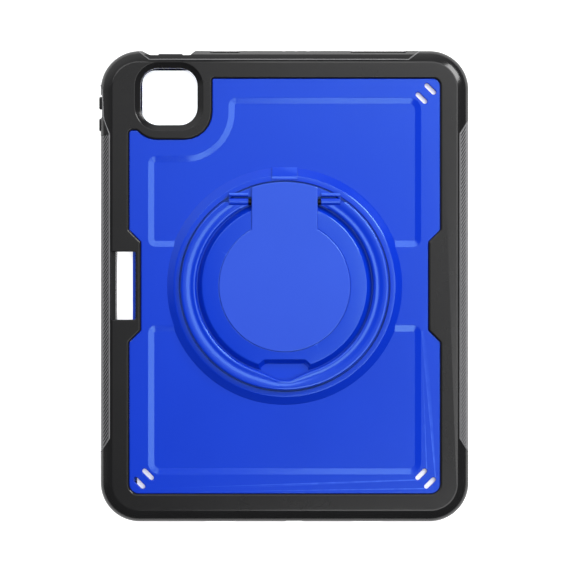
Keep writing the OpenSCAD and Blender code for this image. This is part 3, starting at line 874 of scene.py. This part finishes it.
def standCap():
    s = stand
    rim = [(0, s["seat"] + 0.02), (0, s["cap"] - 0.42), (-0.1, s["cap"] - 0.2), (-0.28, s["cap"] - 0.06),
           (-0.55, s["cap"])]
    body = loft("cap_disc", [[(x, y, z) for x, y in capOutline(g - 0.05)] for g, z in rim])
    return place(body, "turntable", capBlue, "cap_blue", "stand_cap")


ringProfile = [(50.0, 14.0), (49.6, 14.4), (49.6, 15.7), (49.7, 16.2), (50.0, 16.65), (50.45, 16.88),
               (51.0, 16.96), (51.6, 16.92), (52.3, 16.81), (53.0, 16.78), (53.7, 16.86), (54.5, 17.0),
               (55.3, 17.09), (56.2, 17.14), (57.1, 17.15), (57.7, 17.1), (58.1, 16.95), (58.3, 16.65),
               (58.35, 16.2), (58.35, 14.3), (58.05, 14.0)]
ringNotch = [(0, -52.75), (3.1, -52.65), (3.6, -52.5), (10.6, -49.2), (11.6, -48.75), (15.2, -47.2)]


def notchRadius(angle):
    # inner radius of the ring where a ray at this angle from straight down meets the thumb notch
    dx, dy = math.sin(abs(angle)), -math.cos(angle)
    for (x0, y0), (x1, y1) in zip(ringNotch, ringNotch[1:]):
        ex, ey = x1 - x0, y1 - y0
        det = ex * dy - ey * dx
        if abs(det) < 1e-9:
            continue
        t = (dx * y0 - dy * x0) / det
        px, py = x0 + ex * t, y0 + ey * t
        if -1e-6 <= t <= 1 + 1e-6:
            return max(math.hypot(px, py), stand["ringInner"])
    return stand["ringInner"]


def ringStand():
    s = stand
    angles = []
    a, limit = -math.radians(162), math.radians(162)
    while a < limit:
        angles.append(a)
        a += math.radians(0.35 if abs(a) < math.radians(19.5) else 1.2)
    angles.append(limit)
    rings = []
    for a in angles:
        inner, fixed = notchRadius(a), 56.6
        k = (fixed - inner) / (fixed - s["ringInner"])
        ring = []
        for r, z in ringProfile:
            radius = fixed - (fixed - r) * k if r < fixed else r
            ring.append((radius * math.sin(a), -radius * math.cos(a), z))
        rings.append(ring)
    body = loft("ring_handle_bar", rings)
    barrelOut = s["plateX"]
    combine(body, [block("end", (-barrelOut, barrelOut), (hingeY - 2, 70), (0, 30)),
                   block("shoulder", (-80, 80), (46.9, 70), (0, 30)),
                   block("gap", (-s["barrelIn"] - 0.02, s["barrelIn"] + 0.02), (20, 70), (0, 30))])
    added = []
    for side in (-1, 1):
        x = sorted((side * s["barrelIn"], side * barrelOut))
        circle = [(hingeY + s["barrelRadius"] * math.cos(a), hingeZ + s["barrelRadius"] * math.sin(a), 0)
                  for a in [math.tau * j / 36 for j in range(36)]]
        barrel = bevelled(alongX("barrel", circle, *x), 0.3, 3, 60)
        arm = alongX("arm", rect(hingeY - 3.9, hingeY, 14.1, 16.7, 0.4), *x, 3)
        r0, r1 = s["ringInner"] + 0.03, s["outer"] - 0.1
        limitRing = lathe("limit", [(r0, 10), (r1, 10), (r1, 20), (r0, 20)], closed=True)
        combine(arm, [limitRing], "INTERSECT")
        added += [arm, barrel]
    combine(body, added, "UNION")
    hole = 1.05
    circle = [(hingeY + hole * math.cos(a), hingeZ + hole * math.sin(a), 0)
              for a in [math.tau * j / 24 for j in range(24)]]
    combine(body, [alongX("pinHole", circle, 9, 30), alongX("pinHole", circle, -30, -9)])
    return place(body, "ring_handle", ringBlue, "ring_blue", "ring_handle", angle=40)


turntable()
standCap()
ringStand()
print("stand ready")


# buttons
for kind, name, node in ((0, "volume_up_key", "volume_up_button"),
                         (1, "volume_down_key", "volume_down_button"),
                         ("power", "power_key", "power_button")):
    parts = buttonSolids(kind)
    key = combine(bevelled(parts[0], 0.45, 3), parts[1:], "UNION")
    key.name = name
    place(key, node, buttonBlack, "button_black", node)
print("buttons ready")


# front frame and lining
def frontRim():
    inset = 2.2
    rim = rect(caseLow[0] + inset, caseHigh[0] - inset, caseLow[1] + inset, caseHigh[1] - inset,
               case["cornerRadius"] - inset)
    body = tower("front_rim", rim, [(-0.9, 0), (-0.35, 0.15), (-0.08, 0.4), (0, 0.8), (0, 2)], 16)
    window = rect(*tablet, tabletRadius)
    combine(body, clipBlocks(), "UNION")
    cutters = [tower("filmSeat", window, [(-0.2, 1.4), (-0.2, 3)], 12),
               tower("window", window, [(-2.6, -0.5), (-2.9, 0.1), (-3.3, 0.5), (-3.5, 0.9), (-3.5, 1.6)],
                     12),
               tower("stylusSlot", rect(grooveX[0] + 0.2, grooveX[1] - 0.2, -grooveY, grooveY, 3),
                     [(0.3, -0.5), (0.3, 0.1), (0, 0.4), (0, 3)])]
    combine(body, cutters)
    return place(body, "front_frame", frameBlack, "frame_black", "front_frame")


def lining():
    edge = [(-1.2, padLow[2]), (-1.0, padLow[2] + 0.15), (-1.0, padHigh[2] - 0.15), (-1.2, padHigh[2])]
    sheet = tower("microfibre_lining", rect(*tablet, tabletRadius), edge, 12)
    cameraHole = tower("cameraHole", rect(*cameraPlace, cameraRadius), [(1, 7), (1, 10)], 8)
    windowHole = block("windowHole", (windowPlace[0], windowPlace[1] + 0.1),
                       (windowPlace[2], windowPlace[3]), (7, 10))
    combine(sheet, [cameraHole, windowHole])
    place(sheet, "shell", napped(), "lining_grey", "lining_pad")


frontRim()
lining()
print("front ready")


# carried-over nodes
steel = brushedSteel("steel", [0.55, 0.56, 0.58, 1], [0.68, 0.69, 0.7, 1])
blackened = brushedSteel("blackened_steel", [0.012, 0.013, 0.02, 1], [0.02, 0.022, 0.03, 1])
for node, material in (("friction_washer", steel), ("retaining_ring", steel), ("retaining_screws", steel),
                       ("hinge_pins", blackened), ("hinge_washers", blackened), ("screen_film", clearFilm()),
                       ("film_tape", tapeBlack)):
    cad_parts[node].data.materials.clear()
    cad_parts[node].data.materials.append(material)
print("carried-over nodes ready")


# stage, light and camera
studio = {
    "viewHeight": 1.2, "field": 0.3239, "x": 0.0019, "y": -0.00107, "sensor": 36,
    "fill": 0.1, "glow": 0.9, "keyWatts": 11, "panelHeight": 12, "panelWatts": 9,
    # soft patch straight above: half sizes, level, and its rise towards +X and +Y
    "patch": {"x": 0.115, "y": 0.135, "level": 0.62, "riseX": 1.6, "riseY": 4},
    # west, east, south and north edge of each panel as a share of its height, and its level
    "panels": [("right_panel", 0.13, 0.6, -0.6, 0.6, 1.15), ("top_panel", -0.6, 0.13, 0.25, 0.6, 1.15),
               ("top_corner", 0.0, 0.13, 0.15, 0.25, 1.4), ("bottom_corner", -0.02, 0.13, -0.6, -0.15, 1.5)],
}


def floor():
    mesh = bpy.data.meshes.new("studio_floor")
    mesh.from_pydata([(-3, -3, 0), (3, -3, 0), (3, 3, 0), (-3, 3, 0)], [], [(0, 1, 2, 3)])
    obj = bpy.data.objects.new("studio_floor", mesh)
    scene.collection.objects.link(obj)
    material = bpy.data.materials.new("studio_floor")
    material.use_nodes = True
    shader = material.node_tree.nodes["Principled BSDF"]
    shader.inputs["Base Color"].default_value = (0.9, 0.9, 0.9, 1)
    shader.inputs["Roughness"].default_value = 0.9
    shader.inputs["Emission Color"].default_value = (1, 1, 1, 1)
    shader.inputs["Emission Strength"].default_value = 0.8
    mesh.materials.append(material)


def softbox(name, at, aim, size, watts, colour=(1, 1, 1)):
    light = bpy.data.lights.new(name, "AREA")
    light.shape, light.size, light.size_y = "RECTANGLE", size[0], size[1]
    light.energy, light.color = watts, colour
    obj = bpy.data.objects.new(name, light)
    obj.location = at
    if aim:
        obj.rotation_euler = (Vector(aim) - Vector(at)).to_track_quat("-Z", "Y").to_euler()
    scene.collection.objects.link(obj)


def lights():
    world = bpy.data.worlds.new("studio")
    world.use_nodes = True
    world.node_tree.nodes["Background"].inputs["Color"].default_value = (1, 1, 1, 1)
    scene.world = world
    add, link = world.node_tree.nodes.new, world.node_tree.links.new

    def calc(operation, first, second, third=None, clamp=False):
        node = add("ShaderNodeMath")
        node.operation, node.use_clamp = operation, clamp
        for socket, value in zip(node.inputs, (first, second, third)):
            if isinstance(value, (int, float)):
                socket.default_value = value
            elif value is not None:
                link(value, socket)
        return node.outputs[0]

    patch = studio["patch"]
    split = add("ShaderNodeSeparateXYZ")
    link(add("ShaderNodeTexCoord").outputs["Generated"], split.inputs[0])
    x = calc("DIVIDE", split.outputs["X"], split.outputs["Z"])
    y = calc("DIVIDE", split.outputs["Y"], split.outputs["Z"])
    level = calc("MULTIPLY_ADD", x, patch["riseX"], patch["level"])
    level = calc("MAXIMUM", calc("MULTIPLY_ADD", y, patch["riseY"], level), 0)
    far = calc("MAXIMUM", calc("ABSOLUTE", calc("DIVIDE", x, patch["x"]), 0),
               calc("ABSOLUTE", calc("DIVIDE", y, patch["y"]), 0))
    above = calc("GREATER_THAN", split.outputs["Z"], 0)
    inside = calc("MULTIPLY", calc("MULTIPLY_ADD", far, -5, 5.6, True), above)
    # pale wall low behind the top end
    wall = calc("MULTIPLY_ADD", split.outputs["X"], -0.6, split.outputs["Y"])
    wall = calc("MULTIPLY", calc("MULTIPLY_ADD", wall, 1.6, -0.6, True), studio["glow"])
    level = calc("ADD", calc("MULTIPLY_ADD", level, inside, studio["fill"]), wall)
    link(level, world.node_tree.nodes["Background"].inputs["Strength"])
    # overhead panels far up, with a gap in the middle that the flat faces mirror
    for name, x0, x1, y0, y1, level in studio["panels"]:
        high, wide, long = studio["panelHeight"], x1 - x0, y1 - y0
        softbox(name, ((x0 + x1) / 2 * high, (y0 + y1) / 2 * high, high), None, (wide * high, long * high),
                studio["panelWatts"] * level * wide * long * high * high)
    softbox("key", (0.75, 0.65, 0.8), (0, 0, 0), (0.5, 0.5), studio["keyWatts"])


def camera():
    data = bpy.data.cameras.new("camera")
    data.sensor_width = studio["sensor"]
    data.lens = studio["sensor"] / 2 * studio["viewHeight"] / (studio["field"] / 2)
    obj = bpy.data.objects.new("camera", data)
    obj.location = (studio["x"], studio["y"], studio["viewHeight"] + case["border"] * mm)
    scene.collection.objects.link(obj)
    scene.camera = obj


floor()
lights()
camera()
scene.view_settings.view_transform = "Standard"
print("studio ready")
